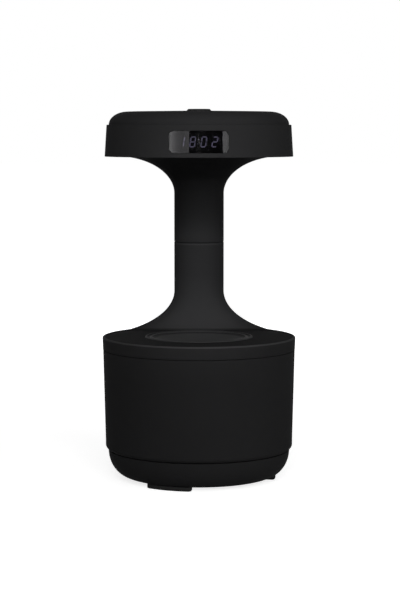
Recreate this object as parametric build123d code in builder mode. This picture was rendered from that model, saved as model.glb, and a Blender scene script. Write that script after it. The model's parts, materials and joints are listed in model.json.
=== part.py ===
"""Anti-gravity water-drop humidifier with a digital clock in its head.

A round tank stands on three pads. Its deck carries a hollow column at the back, which reaches over
to a flat round head. A pump lifts water up the column to a nozzle under the head, the drops fall
through a strobe light into a ringed dish in the deck, and a wick feeds an atomiser on top of the head.
Frame: millimetres, +Z up, the front faces -Y, the origin is on the table below the tank's centre.
"""

from build123d import *
from math import atan2, cos, degrees, radians, sin, sqrt
import os

os.makedirs("parts", exist_ok=True)

# ------------------------------------------------------------------ driving dimensions
rim_radius = 65.0  # the widest radius; the other round pieces follow it by the steps below
wall = 2.2  # general wall of the mouldings
play = 0.2  # clearance between two mouldings that fit together
parting_gap = 0.5  # shadow gap round each parting line

foot_height = 2.2  # how far the pads stand out below the bottom shell
foot_width = 8.0
foot_overhang = 5.0  # how far the pads reach outside the shell's flat
foot_span = 37.0  # degrees of arc that one pad covers
foot_first_angle = 246.0  # degrees from +X to the middle of the first pad
foot_count = 3
foot_pocket = 0.6  # depth of the pad's seat in the shell

shell_step = 1.9  # the shell's top is this much slimmer than the tank
bowl_width = 14.2
bowl_height = 17.8

tank_height = 67.1
tank_step = 0.4  # the tank's top is this much slimmer than the rim
tank_draft = 1.5
tank_edge_radius = 3.0  # rounding of the tank's lower edge
tank_land = 1.0  # flat of the tank's lower edge, inside its rounding
tank_floor_rise = 6.0  # from the tank's lower edge up to the water side of its floor
tank_floor_thickness = 2.5
tongue_thickness = 1.5

band_height = 8.4  # rim band of the deck
rim_rounding = 0.9
deck_sink = 0.4  # the deck's flat lies this much below the rim
deck_thickness = 2.3
lip_depth = 6.5  # locating lip of the deck, inside the tank

dish_inset = 28.7  # from the rim to the removable ringed plate in the deck
dish_ledge = 5.1
dish_flange = 1.5
dish_depth = 5.8  # from the deck down to the middle of the dish
dish_skin = 1.6

column_height = 120.7  # from the rim to the underside of the head
column_inset = 3.0  # from the rim to the column's back
column_half_width = 17.4
column_depth = 22.5  # front to back on the centre line
flare_height = 26.5
flare_tip_inset = 2.2  # from the flare's tip to the column's back radius
front_reach_low = 2.6  # how far the lower flare runs forward of the column
front_reach_high = 14.0
spigot_height = 6.0
column_gap = 0.3  # shadow gap between the two halves of the column
column_edge = 0.2

head_step = 2.0  # the head is this much slimmer than the rim
head_draft = 1.3
skirt_height = 21.1
head_floor_thickness = 2.5
cover_ledge = 1.5
cover_shoulder_width = 12.5
cover_shoulder_height = 8.7
cover_crown = 0.6
cover_skin = 2.0

window_width = 38.0
window_height = 14.3
window_corner = 3.4
window_thickness = 1.8
digit_height = 7.0
digit_width = 3.7
digit_pitch = 7.0
digit_shift = -0.4
digit_slant = 9.0  # degrees
segment_width = 0.75
segment_raise = 0.2

mist_ring_radius = 8.3
mist_ring_top_radius = 7.1
mist_ring_height = 1.2
mist_ring_neck_radius = 6.6
mist_bore_radius = 4.2

# ------------------------------------------------------------------ derived radii, from the rim inwards
tank_top_radius = rim_radius - tank_step
tank_bottom_radius = tank_top_radius - tank_draft
shell_top_radius = tank_bottom_radius - shell_step
shell_flat_radius = shell_top_radius - bowl_width
tongue_radius = tank_bottom_radius - tank_edge_radius - tank_land - play
foot_outer_radius = shell_flat_radius + foot_overhang
foot_inner_radius = foot_outer_radius - foot_width
dish_radius = rim_radius - dish_inset
dish_opening_radius = dish_radius - dish_ledge
column_back_radius = rim_radius - column_inset
column_front_y = column_back_radius - column_depth
flare_reach = column_back_radius - flare_tip_inset - column_half_width
head_bottom_radius = rim_radius - head_step
head_top_radius = head_bottom_radius - head_draft
cover_radius = head_top_radius - cover_ledge

# ------------------------------------------------------------------ derived heights, from the table up
shell_floor_z = foot_height + wall
shell_top_z = foot_height + bowl_height
skirt_bottom_z = shell_top_z + parting_gap
tank_floor_z = skirt_bottom_z + tank_floor_rise
tank_under_z = tank_floor_z - tank_floor_thickness
tank_top_z = skirt_bottom_z + tank_height
deck_skirt_z = tank_top_z + parting_gap
rim_z = deck_skirt_z + band_height
deck_z = rim_z - deck_sink
deck_under_z = deck_z - deck_thickness
dish_seat_z = deck_z - dish_flange
head_bottom_z = rim_z + column_height
head_floor_z = head_bottom_z + head_floor_thickness
seam_z = (rim_z + head_bottom_z) / 2
skirt_top_z = head_bottom_z + skirt_height
cover_top_z = skirt_top_z + cover_shoulder_height
cover_peak_z = cover_top_z + cover_crown
cover_inner_z = cover_top_z - cover_skin
window_z = (head_bottom_z + skirt_top_z) / 2 - 0.6


def write(builder, name):
    """Labels a finished piece and writes its STEP file, which is named after the node."""
    builder.part.label = name
    export_step(builder.part, f"parts/{name}.step")


def skirt_radius(z):
    """Outer radius of the head's drafted skirt at a height."""
    share = (z - head_bottom_z) / (skirt_top_z - head_bottom_z)
    return head_bottom_radius + share * (head_top_radius - head_bottom_radius)


def lay_round(points, radius, bend, mode=Mode.ADD):
    """Runs a round tube or wire with bent corners along the points in the part that is open."""
    with BuildLine() as route:
        FilletPolyline(*points, radius=bend)
    with BuildSketch(Plane(origin=route.line @ 0, z_dir=route.line % 0)) as end:
        Circle(radius)
    sweep(end.sketch, path=route.line, mode=mode)


# ------------------------------------------------------------------ bottom shell
pilot_radius = 0.8
pilot_depth = 4.5
screw_circle = shell_flat_radius - 10.0
screw_angles = [40, 140, 220, 320]
screw_post_radius = 4.0
screw_shank_radius = 1.3
screw_head_radius = 2.5
screw_head_height = 1.8
shell_post_z = shell_floor_z + 10.6
screw_recess = 5.0  # how deep the heads sit below the shell's flat
screw_places = [
    (screw_circle * cos(radians(a)), screw_circle * sin(radians(a))) for a in screw_angles
]

board_width = 21.0
board_length = 23.0
board_thickness = 1.6
board_z = shell_floor_z + 5.2
board_rear_y = shell_top_radius - 7.7
board_mid_y = board_rear_y - board_length / 2
standoff_radius = 2.0
standoff_places = [
    (x * (board_width / 2 - 3), board_mid_y + y * (board_length / 2 - 3)) for x in (-1, 1) for y in (-1, 1)
]

usb_width = 9.0
usb_height = 3.2
usb_depth = 7.6
usb_mouth_y = shell_top_radius - 2.6
usb_mid_z = board_z + board_thickness + usb_height / 2
usb_play = 0.25
usb_skin = 0.35

foot_angles = [foot_first_angle + k * 360 / foot_count for k in range(foot_count)]


def foot_outline(middle_angle, grow=0.0):
    """Adds one arc-shaped pad outline to the sketch that is open."""
    inner = foot_inner_radius - grow
    outer = foot_outer_radius + grow
    half = foot_span / 2 + degrees(grow / foot_outer_radius)
    start = middle_angle - half
    with BuildLine() as outline:
        arc_out = CenterArc((0, 0), outer, start, 2 * half)
        arc_in = CenterArc((0, 0), inner, start, 2 * half)
        Line(arc_in @ 0, arc_out @ 0)
        Line(arc_in @ 1, arc_out @ 1)
    make_face(outline.edges())


with BuildPart() as bottom_shell:
    with BuildSketch(Plane.XZ):
        with BuildLine():
            Line((0, foot_height), (shell_flat_radius, foot_height))
            bowl = EllipticalCenterArc(
                (shell_flat_radius, shell_top_z),
                shell_top_radius - shell_flat_radius,
                shell_top_z - foot_height,
                start_angle=270,
                arc_size=90,
            )
            Polyline(
                bowl @ 1,
                (tongue_radius, shell_top_z),
                (tongue_radius, tank_under_z - play),
                (tongue_radius - tongue_thickness, tank_under_z - play),
                (tongue_radius - tongue_thickness, shell_top_z),
            )
            inner_bowl = EllipticalCenterArc(
                (shell_flat_radius, shell_top_z),
                tongue_radius - tongue_thickness - shell_flat_radius,
                shell_top_z - shell_floor_z,
                start_angle=270,
                arc_size=90,
            )
            Polyline(inner_bowl @ 0, (0, shell_floor_z), (0, foot_height))
        make_face()
    revolve(axis=Axis.Z)
    # posts for the screws and standoffs for the power board
    with BuildSketch(Plane.XY.offset(foot_height + wall / 2)):
        with Locations(*screw_places):
            Circle(screw_post_radius)
    extrude(amount=shell_post_z - foot_height - wall / 2)
    with BuildSketch(Plane.XY.offset(foot_height + wall / 2)):
        with Locations(*standoff_places):
            Circle(standoff_radius)
    extrude(amount=board_z - foot_height - wall / 2)
    # screw holes, with the heads sunk from below
    with BuildSketch(Plane.XY.offset(foot_height)):
        with Locations(*screw_places):
            Circle(screw_head_radius + play)
    extrude(amount=screw_recess, mode=Mode.SUBTRACT)
    with BuildSketch(Plane.XY.offset(foot_height)):
        with Locations(*screw_places):
            Circle(screw_shank_radius + play)
    extrude(amount=shell_post_z - foot_height, mode=Mode.SUBTRACT)
    # seats for the pads
    for angle in foot_angles:
        with BuildSketch(Plane.XY.offset(foot_height)):
            foot_outline(angle, grow=0.15)
        extrude(amount=foot_pocket, mode=Mode.SUBTRACT)
    # port for the socket
    with BuildSketch(Plane.XZ.offset(-board_rear_y)):
        with Locations((0, usb_mid_z)):
            SlotOverall(usb_width + 2 * usb_play, usb_height + 2 * usb_play)
    extrude(amount=-(shell_top_radius - board_rear_y), mode=Mode.SUBTRACT)
    # pilot holes for the board's screws
    with BuildSketch(Plane.XY.offset(board_z - pilot_depth)):
        with Locations(*standoff_places):
            Circle(pilot_radius)
    extrude(amount=pilot_depth, mode=Mode.SUBTRACT)
write(bottom_shell, "bottom_shell")

with BuildPart() as foot_pads:
    for angle in foot_angles:
        with BuildSketch():
            foot_outline(angle)
        extrude(amount=foot_height + foot_pocket)
    corner_edges = foot_pads.edges().filter_by(Axis.Z)
    fillet(corner_edges, 2.5)
    chamfer(foot_pads.faces().filter_by(Plane.XY).group_by(Axis.Z)[0].edges(), 0.5)
write(foot_pads, "foot_pads")

with BuildPart() as bottom_screws:
    with Locations(*[(x, y, foot_height + screw_recess - screw_head_height) for x, y in screw_places]):
        Cylinder(screw_head_radius, screw_head_height, align=(Align.CENTER, Align.CENTER, Align.MIN))
        Cylinder(screw_shank_radius, 15.0, align=(Align.CENTER, Align.CENTER, Align.MIN))
    with BuildSketch(Plane.XY.offset(foot_height + screw_recess - screw_head_height)):
        with Locations(*screw_places):
            Rectangle(2.6, 0.6)
            Rectangle(0.6, 2.6)
    extrude(amount=0.9, mode=Mode.SUBTRACT)
write(bottom_screws, "bottom_screws")

# ------------------------------------------------------------------ power board and its socket
board_screw_radius = pilot_radius - 0.05
board_screw_head = 1.7
board_screw_length = 5.0

with BuildPart() as power_board:
    with BuildSketch(Plane.XY.offset(board_z)):
        with Locations((0, board_mid_y)):
            Rectangle(board_width, board_length)
        with Locations(*standoff_places):
            Circle(board_screw_radius + 0.15, mode=Mode.SUBTRACT)
    extrude(amount=board_thickness)
    # inductor, converter chip and capacitor, soldered on top
    with BuildSketch(Plane.XY.offset(board_z + board_thickness)):
        with Locations((3, board_mid_y - 4)):
            RectangleRounded(5.5, 5.5, 1.2)
    extrude(amount=3.0)
    with BuildSketch(Plane.XY.offset(board_z + board_thickness)):
        with Locations((2, board_mid_y + 3)):
            Rectangle(4, 4)
    extrude(amount=1.0)
    with BuildSketch(Plane.XY.offset(board_z + board_thickness)):
        with Locations((7.2, board_mid_y + 3.2)):
            Circle(2.2)
    extrude(amount=5.5)
write(power_board, "power_board")

with BuildPart() as usb_socket:
    with BuildSketch(Plane.XZ.offset(-usb_mouth_y)):
        with Locations((0, usb_mid_z)):
            SlotOverall(usb_width, usb_height)
    extrude(amount=usb_depth)
    with BuildSketch(Plane.XZ.offset(-usb_mouth_y)):
        with Locations((0, usb_mid_z)):
            SlotOverall(usb_width - 2 * usb_skin, usb_height - 2 * usb_skin)
    extrude(amount=usb_depth - 1.2, mode=Mode.SUBTRACT)
    with BuildSketch(Plane.XZ.offset(-usb_mouth_y + 0.8)):
        with Locations((0, usb_mid_z)):
            Rectangle(6.7, 0.7)
    extrude(amount=usb_depth - 1.4)
write(usb_socket, "usb_socket")

# ------------------------------------------------------------------ tank
boss_radius = 3.6
chimney_x = -6.0
chimney_y = column_back_radius - 11.0
chimney_radius = 5.5
chimney_bore = 4.0
post_x = 27.1 - tank_bottom_radius  # hollow post that guides the float and holds the sensor
post_y = 2.0
post_radius = 4.0
post_bore = 2.2
post_height = 25.5
post_top_z = tank_floor_z + post_height
post_neck_radius = 3.2
plate_thickness = 2.0
plate_under_z = deck_under_z - plate_thickness
grommet_flange = 1.0
chimney_top_z = plate_under_z - grommet_flange

with BuildPart() as tank:
    with BuildSketch(Plane.XZ):
        with BuildLine():
            edge_x = tank_bottom_radius - tank_edge_radius
            edge = Line((edge_x - tank_land, skirt_bottom_z), (edge_x, skirt_bottom_z))
            rounding_end = (tank_bottom_radius, skirt_bottom_z + tank_edge_radius)
            rounding = RadiusArc(edge @ 1, rounding_end, -tank_edge_radius)
            Polyline(
                rounding @ 1,
                (tank_bottom_radius, tank_floor_z),
                (tank_top_radius, tank_top_z),
                (tank_top_radius - wall, tank_top_z),
                (tank_bottom_radius - wall, tank_floor_z),
                (0, tank_floor_z),
                (0, tank_under_z),
                (edge_x - tank_land, tank_under_z),
                edge @ 0,
            )
        make_face()
    revolve(axis=Axis.Z)
    # bosses for the bottom screws
    with BuildSketch(Plane.XY.offset(shell_post_z)):
        with Locations(*screw_places):
            Circle(boss_radius)
    extrude(amount=tank_floor_z - tank_floor_thickness / 2 - shell_post_z)
    with BuildSketch(Plane.XY.offset(shell_post_z)):
        with Locations(*screw_places):
            Circle(screw_shank_radius + 0.05)
    extrude(amount=6.5, mode=Mode.SUBTRACT)
    # chimney for the wires
    with BuildSketch(Plane.XY.offset(tank_floor_z - tank_floor_thickness / 2)):
        with Locations((chimney_x, chimney_y)):
            Circle(chimney_radius)
    extrude(amount=chimney_top_z - tank_floor_z + tank_floor_thickness / 2)
    with BuildSketch(Plane.XY.offset(tank_under_z)):
        with Locations((chimney_x, chimney_y)):
            Circle(chimney_bore)
    extrude(amount=chimney_top_z - tank_under_z, mode=Mode.SUBTRACT)
    # post for the float, closed at its top and open below for the sensor
    with BuildSketch(Plane.XY.offset(tank_floor_z - tank_floor_thickness / 2)):
        with Locations((post_x, post_y)):
            Circle(post_radius)
    extrude(amount=post_top_z - tank_floor_z + tank_floor_thickness / 2)
    with BuildSketch(Plane.XY.offset(post_top_z)):
        with Locations((post_x, post_y)):
            Circle(post_neck_radius)
    extrude(amount=2.4)
    with BuildSketch(Plane.XY.offset(tank_under_z)):
        with Locations((post_x, post_y)):
            Circle(post_bore)
    extrude(amount=post_top_z - 2.0 - tank_under_z, mode=Mode.SUBTRACT)
write(tank, "tank")

# ------------------------------------------------------------------ float and its sensor
float_radius = 9.5
float_height = 9.0
float_rest_gap = 0.5
stop_thickness = 1.5

with BuildPart() as water_float:
    with BuildSketch(Plane.XY.offset(tank_floor_z + float_rest_gap)):
        with Locations((post_x, post_y)):
            Circle(float_radius)
            Circle(post_radius + 0.4, mode=Mode.SUBTRACT)
    extrude(amount=float_height)
    fillet(water_float.edges().filter_by(GeomType.CIRCLE).group_by(SortBy.RADIUS)[-1], 1.2)
write(water_float, "water_float")

with BuildPart() as float_stop:
    with BuildSketch(Plane.XY.offset(post_top_z)):
        with Locations((post_x, post_y)):
            Circle(post_radius + 2.5)
            Circle(post_neck_radius + 0.05, mode=Mode.SUBTRACT)
    extrude(amount=stop_thickness)
write(float_stop, "float_stop")

sensor_radius = post_bore - 0.4
with BuildPart() as reed_sensor:
    with Locations((post_x, post_y, tank_under_z + 1)):
        Cylinder(sensor_radius, 16, align=(Align.CENTER, Align.CENTER, Align.MIN))
    fillet(reed_sensor.edges().group_by(Axis.Z)[-1], 1.2)
write(reed_sensor, "reed_sensor")

wire_z = tank_under_z - 6.0
with BuildPart() as sensor_wire:
    lay_round(
        [
            (post_x, post_y, tank_under_z + 1),
            (post_x, post_y, wire_z),
            (-14, board_mid_y - 12, wire_z),
            (-5, board_mid_y - 4, wire_z),
            (-5, board_mid_y - 4, board_z + board_thickness),
        ],
        0.9,
        2.5,
    )
write(sensor_wire, "sensor_wire")

# ------------------------------------------------------------------ pump, standing in the tank
pump_x = 20.0
pump_y = column_back_radius - 23.0
pump_radius = 14.0
pump_feet_height = 2.5
pump_cover_thickness = 2.5
chamber_radius = 11.0
chamber_height = 6.0
well_radius = 5.2
well_height = 12.5
well_skin = 1.2
coil_wall = 1.8
pump_body_height = 22.0
pump_cap_thickness = 2.5
outlet_x = 7.0
outlet_y = column_back_radius - 12.0
spigot_radius = 1.45
shaft_radius = 1.0
tube_radius = 2.5
tube_bore = 1.5
pump_wire_x = 14.0
pump_wire_y = pump_y + 8.0
pump_wire_radius = 1.2

pump_cover_z = tank_floor_z + pump_feet_height
pump_body_z = pump_cover_z + pump_cover_thickness
chamber_top_z = pump_body_z + chamber_height
well_top_z = chamber_top_z + well_height
pump_cap_z = pump_body_z + pump_body_height
coil_z = chamber_top_z + 3.5
outlet_base_z = chamber_top_z + 2.0
spigot_top_z = outlet_base_z + 10.0

with BuildPart() as pump_feet:
    with BuildSketch(Plane.XY.offset(tank_floor_z)):
        with Locations((pump_x, pump_y)):
            with PolarLocations(9, 3):
                Circle(3)
    extrude(amount=pump_feet_height)
write(pump_feet, "pump_feet")

with BuildPart() as pump_cover:
    with BuildSketch(Plane.XY.offset(pump_cover_z)):
        with Locations((pump_x, pump_y)):
            Circle(pump_radius)
            with PolarLocations(4.6, 6):
                Circle(1.5, mode=Mode.SUBTRACT)
    extrude(amount=pump_cover_thickness)
    with BuildSketch(Plane.XY.offset(pump_body_z)):
        with Locations((pump_x, pump_y)):
            Circle(shaft_radius + 0.05)
    extrude(amount=-1.4, mode=Mode.SUBTRACT)
write(pump_cover, "pump_cover")

outlet_dx = outlet_x - pump_x
outlet_dy = outlet_y - pump_y
outlet_run = sqrt(outlet_dx**2 + outlet_dy**2)
outlet_turn = degrees(atan2(outlet_dy, outlet_dx))
outlet_mid_z = pump_body_z + chamber_height / 2

with BuildPart() as pump_body:
    with BuildSketch(Plane.XY.offset(pump_body_z)):
        with Locations((pump_x, pump_y)):
            Circle(pump_radius)
    extrude(amount=pump_body_height)
    # arm that carries the outlet
    with BuildSketch(Plane.XY.offset(pump_body_z)):
        with Locations((outlet_x, outlet_y)):
            Circle(3.6)
        with Locations((pump_x + outlet_dx / 2, pump_y + outlet_dy / 2)):
            Rectangle(outlet_run, 7.2, rotation=outlet_turn)
    extrude(amount=outlet_base_z - pump_body_z)
    with BuildSketch(Plane.XY.offset(outlet_base_z)):
        with Locations((outlet_x, outlet_y)):
            Circle(spigot_radius)
    extrude(amount=spigot_top_z - outlet_base_z)
    # chamber, well of the rotor and room for the coil
    with BuildSketch(Plane.XY.offset(pump_body_z)):
        with Locations((pump_x, pump_y)):
            Circle(chamber_radius)
    extrude(amount=chamber_height, mode=Mode.SUBTRACT)
    with BuildSketch(Plane.XY.offset(chamber_top_z)):
        with Locations((pump_x, pump_y)):
            Circle(well_radius)
    extrude(amount=well_height, mode=Mode.SUBTRACT)
    with BuildSketch(Plane.XY.offset(coil_z)):
        with Locations((pump_x, pump_y)):
            Circle(pump_radius - coil_wall)
            Circle(well_radius + well_skin, mode=Mode.SUBTRACT)
    extrude(amount=pump_cap_z - coil_z, mode=Mode.SUBTRACT)
    with BuildSketch(Plane.XY.offset(well_top_z)):
        with Locations((pump_x, pump_y)):
            Circle(shaft_radius + 0.05)
    extrude(amount=1.0, mode=Mode.SUBTRACT)
    # water way from the chamber to the outlet
    with BuildSketch(Plane(origin=(pump_x, pump_y, outlet_mid_z), z_dir=(outlet_dx, outlet_dy, 0))):
        Circle(1.3)
    extrude(amount=outlet_run, mode=Mode.SUBTRACT)
    with BuildSketch(Plane.XY.offset(outlet_mid_z)):
        with Locations((outlet_x, outlet_y)):
            Circle(0.9)
    extrude(amount=spigot_top_z - outlet_mid_z, mode=Mode.SUBTRACT)
write(pump_body, "pump_body")

with BuildPart() as pump_cap:
    with BuildSketch(Plane.XY.offset(pump_cap_z)):
        with Locations((pump_x, pump_y)):
            Circle(pump_radius)
        with Locations((pump_wire_x, pump_wire_y)):
            Circle(pump_wire_radius + 0.05, mode=Mode.SUBTRACT)
    extrude(amount=pump_cap_thickness)
write(pump_cap, "pump_cap")

with BuildPart() as pump_coil:
    with BuildSketch(Plane.XY.offset(coil_z)):
        with Locations((pump_x, pump_y)):
            Circle(pump_radius - coil_wall - 0.3)
            Circle(well_radius + well_skin + 0.3, mode=Mode.SUBTRACT)
    extrude(amount=pump_cap_z - coil_z - 2.0)
write(pump_coil, "pump_coil")

with BuildPart() as pump_shaft:
    with Locations((pump_x, pump_y, pump_body_z - 1.4)):
        Cylinder(shaft_radius, well_top_z - pump_body_z + 2.2, align=(Align.CENTER, Align.CENTER, Align.MIN))
write(pump_shaft, "pump_shaft")

rotor_play = 0.8
with BuildPart() as pump_rotor:
    with BuildSketch(Plane.XY.offset(pump_body_z + rotor_play)):
        with Locations((pump_x, pump_y)):
            Circle(chamber_radius - 1.2)
    extrude(amount=1.0)
    with BuildSketch(Plane.XY.offset(pump_body_z + rotor_play)):
        with Locations((pump_x, pump_y)):
            with PolarLocations(6.2, 6):
                Rectangle(6.8, 0.9)
    extrude(amount=chamber_height - 2 * rotor_play)
    with BuildSketch(Plane.XY.offset(pump_body_z + rotor_play)):
        with Locations((pump_x, pump_y)):
            Circle(well_radius - 0.4)
    extrude(amount=well_top_z - pump_body_z - 2 * rotor_play)
    with BuildSketch(Plane.XY.offset(pump_body_z)):
        with Locations((pump_x, pump_y)):
            Circle(shaft_radius + 0.05)
    extrude(amount=well_top_z - pump_body_z, mode=Mode.SUBTRACT)
write(pump_rotor, "pump_rotor")

# ------------------------------------------------------------------ lower column and deck
seat_ring = 2.2
rim_width = 1.6
void_reach = 12.0
void_back = 3.7
flare_steps = 6
column_side = 1.2  # short straight side between the elliptical front and the round back


def column_section(z, half_width, front_y, back_radius):
    """D-shaped outline of the column at a height: an elliptical front and straight sides."""
    side_y = max(sqrt(max(back_radius**2 - half_width**2, 0)) - column_side, front_y + 1.0)
    with BuildSketch(Plane.XY.offset(z)) as section:
        with BuildLine():
            front = EllipticalCenterArc(
                (0, side_y), half_width, side_y - front_y, start_angle=180, arc_size=180
            )
            Polyline(front @ 1, (half_width, back_radius + 5), (-half_width, back_radius + 5), front @ 0)
        make_face()
    return section.sketch


def column_body(foot_z, rise, top_z, inset, back_inset, reach, front_reach):
    """Flare standing on foot_z and growing by rise into the plain column, which ends at top_z."""
    back_radius = column_back_radius - back_inset
    sections = []
    for k in range(flare_steps + 1):
        turn = radians(90 * k / flare_steps)
        half_width = column_half_width - inset + reach * (1 - sin(turn))
        front_y = column_front_y + inset - front_reach * (1 - sin(turn))
        sections.append(column_section(foot_z + rise * (1 - cos(turn)), half_width, front_y, back_radius))
    with BuildPart() as body:
        loft(sections, ruled=inset > 0)
        extrude(sections[-1], amount=abs(top_z - foot_z - rise), dir=(0, 0, 1 if rise > 0 else -1))
        with BuildSketch(Plane.XY.offset(min(foot_z, top_z) - 1)):
            Circle(back_radius)
        extrude(amount=abs(top_z - foot_z) + 2, mode=Mode.INTERSECT)
    return body.part


port_width = 35.0
port_depth = 13.0
port_y = column_back_radius - 13.1
lower_top_z = seam_z - column_gap / 2
spigot_inset = wall + play
spigot_skin = 1.4
column_screw_x = 9.0
column_screw_z = seam_z + spigot_height / 2
column_screw_radius = 1.0
column_screw_head = 2.0
column_screw_seat_y = column_back_radius - 2.4

with BuildPart() as base_deck:
    with BuildSketch(Plane.XZ):
        with BuildLine():
            rim_curve = RadiusArc(
                (rim_radius, rim_z - rim_rounding), (rim_radius - rim_rounding, rim_z), -rim_rounding
            )
            Polyline(
                rim_curve @ 1,
                (rim_radius - rim_width, rim_z),
                (rim_radius - rim_width - 0.4, deck_z),
                (dish_radius + play, deck_z),
                (dish_radius + play, dish_seat_z),
                (dish_opening_radius, dish_seat_z),
                (dish_opening_radius, dish_seat_z - seat_ring),
                (dish_radius + play + wall, dish_seat_z - seat_ring),
                (dish_radius + play + wall, deck_under_z),
                (tank_top_radius - 2 * wall, deck_under_z),
                (tank_top_radius - 2 * wall, deck_skirt_z - lip_depth),
                (tank_top_radius - wall - play, deck_skirt_z - lip_depth),
                (tank_top_radius - wall - play, deck_skirt_z),
                (tank_top_radius + 0.1, deck_skirt_z),
                rim_curve @ 0,
            )
        make_face()
    revolve(axis=Axis.Z)
    add(column_body(deck_z - 0.3, flare_height, lower_top_z, 0, 0, flare_reach, front_reach_low))
    chamfer(base_deck.faces().sort_by(Axis.Z)[-1].outer_wire().edges(), column_edge)
    # sleeve that enters the upper column
    add(column_body(seam_z - 4, 0.5, seam_z + spigot_height, spigot_inset, void_back + play, 0, 0))
    # hollow inside, and the port under it
    add(
        column_body(deck_z, flare_height, seam_z - 3, wall, void_back, void_reach, 0),
        mode=Mode.SUBTRACT,
    )
    inner = spigot_inset + spigot_skin
    add(
        column_body(seam_z - 6, 0.5, seam_z + spigot_height, inner, void_back + play + spigot_skin, 0, 0),
        mode=Mode.SUBTRACT,
    )
    with BuildSketch(Plane.XY.offset(deck_under_z)):
        with Locations((0, port_y)):
            RectangleRounded(port_width, port_depth, 4)
    extrude(amount=deck_thickness, mode=Mode.SUBTRACT)
    # pilot holes for the column screws
    with BuildSketch(Plane.XZ.offset(-column_screw_seat_y)):
        with Locations((-column_screw_x, column_screw_z), (column_screw_x, column_screw_z)):
            Circle(column_screw_radius + 0.05)
    extrude(amount=5.0, mode=Mode.SUBTRACT)
write(base_deck, "base_deck")

with BuildPart() as deck_gasket:
    with BuildSketch(Plane.XY.offset(tank_top_z)):
        Circle(tank_top_radius - 1.2)
        Circle(tank_top_radius - wall + 0.05, mode=Mode.SUBTRACT)
    extrude(amount=parting_gap)
write(deck_gasket, "deck_gasket")

with BuildPart() as column_plate:
    with BuildSketch(Plane.XY.offset(plate_under_z)):
        with Locations((0, port_y)):
            RectangleRounded(port_width + 6, port_depth + 4.4, 5)
        with Locations((chimney_x, chimney_y)):
            Circle(2.4, mode=Mode.SUBTRACT)
        with Locations((outlet_x, outlet_y)):
            Circle(tube_radius + 0.95, mode=Mode.SUBTRACT)
        with Locations((pump_wire_x, pump_wire_y)):
            Circle(pump_wire_radius + 0.95, mode=Mode.SUBTRACT)
    extrude(amount=plate_thickness)
write(column_plate, "column_plate")

with BuildPart() as plate_grommets:
    for x, y, r in ((outlet_x, outlet_y, tube_radius), (pump_wire_x, pump_wire_y, pump_wire_radius)):
        with BuildSketch(Plane.XY.offset(plate_under_z - grommet_flange)):
            with Locations((x, y)):
                Circle(r + 1.6)
        extrude(amount=grommet_flange)
        with BuildSketch(Plane.XY.offset(plate_under_z)):
            with Locations((x, y)):
                Circle(r + 0.9)
        extrude(amount=plate_thickness)
        with BuildSketch(Plane.XY.offset(plate_under_z - grommet_flange)):
            with Locations((x, y)):
                Circle(r + 0.05)
        extrude(amount=grommet_flange + plate_thickness, mode=Mode.SUBTRACT)
write(plate_grommets, "plate_grommets")

with BuildPart() as chimney_seal:
    with BuildSketch(Plane.XY.offset(chimney_top_z)):
        with Locations((chimney_x, chimney_y)):
            Circle(chimney_radius)
            Circle(chimney_bore + 0.3, mode=Mode.SUBTRACT)
    extrude(amount=grommet_flange)
write(chimney_seal, "chimney_seal")

# ------------------------------------------------------------------ ringed dish, lifts out of the deck
bead_width = 2.0
bead_foot = 0.3  # the beads spring from this far below the deck
bead_rise = 0.6  # crest of the outer bead above the deck
dish_rings = [dish_radius - bead_width / 2, dish_radius - 2.2 * bead_width]
dish_edge = dish_rings[1] - bead_width / 2
drain_circle = 8.0

with BuildPart() as drip_dish:
    with BuildSketch(Plane.XZ):
        with BuildLine():
            bead_a = ThreePointArc(
                (dish_radius, deck_z - bead_foot),
                (dish_rings[0], deck_z + bead_rise),
                (dish_radius - bead_width, deck_z - bead_foot),
            )
            valley = Line(bead_a @ 1, (dish_rings[1] + bead_width / 2, deck_z - 0.4))
            bead_b = ThreePointArc(
                valley @ 1, (dish_rings[1], deck_z + bead_rise / 2), (dish_edge, deck_z - 0.5)
            )
            hollow = ThreePointArc(
                bead_b @ 1,
                (dish_edge * 0.6, deck_z - 0.5 - (dish_depth - 0.5) * 0.64),
                (0, deck_z - dish_depth),
            )
            Polyline(
                hollow @ 1,
                (0, deck_z - dish_depth - dish_skin),
                (drain_circle + 4, deck_z - dish_depth - dish_skin),
                (dish_opening_radius - 0.3, deck_z - dish_flange - 2.0),
                (dish_opening_radius - 0.3, dish_seat_z),
                (dish_radius, dish_seat_z),
                bead_a @ 0,
            )
        make_face()
    revolve(axis=Axis.Z)
    with BuildSketch(Plane.XY.offset(deck_z - dish_depth - 3)):
        Circle(2.0)
        with PolarLocations(drain_circle, 6):
            Circle(1.3)
    extrude(amount=dish_depth + 3, mode=Mode.SUBTRACT)
write(drip_dish, "drip_dish")

# ------------------------------------------------------------------ upper column with the head's floor
floor_radius = head_bottom_radius - wall - 0.3
upper_bottom_z = seam_z + column_gap / 2
head_screw_circle = head_top_radius - 11.7
head_screw_angles = [45, 135, 225, 315]
head_screw_radius = 1.1
head_screw_head = 2.1
head_screw_recess = 1.7
head_screw_length = 16.0
head_post_radius = 3.0
head_post_z = head_floor_z + 4.0
head_screw_places = [
    (head_screw_circle * cos(radians(a)), head_screw_circle * sin(radians(a))) for a in head_screw_angles
]

diffuser_radius = 12.8
diffuser_bore = 3.6
diffuser_thickness = 1.4
strobe_boss_radius = 15.0
strobe_board_z = head_floor_z + 1.6
strobe_board_radius = 14.4
strobe_board_thickness = 1.2

control_x = -34.0
control_width = 32.0
control_length = 34.0
control_z = head_floor_z + 3.0
control_places = [
    (control_x + x * (control_width / 2 - 3), y * (control_length / 2 - 3)) for x in (-1, 1) for y in (-1, 1)
]

guide_height = 6.0
button_board_y = head_top_radius - 8.1
button_board_thickness = 1.0
button_board_half = 18.0
display_board_y = 9.7 - head_top_radius
display_board_thickness = 1.6
display_board_half = 20.0

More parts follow.
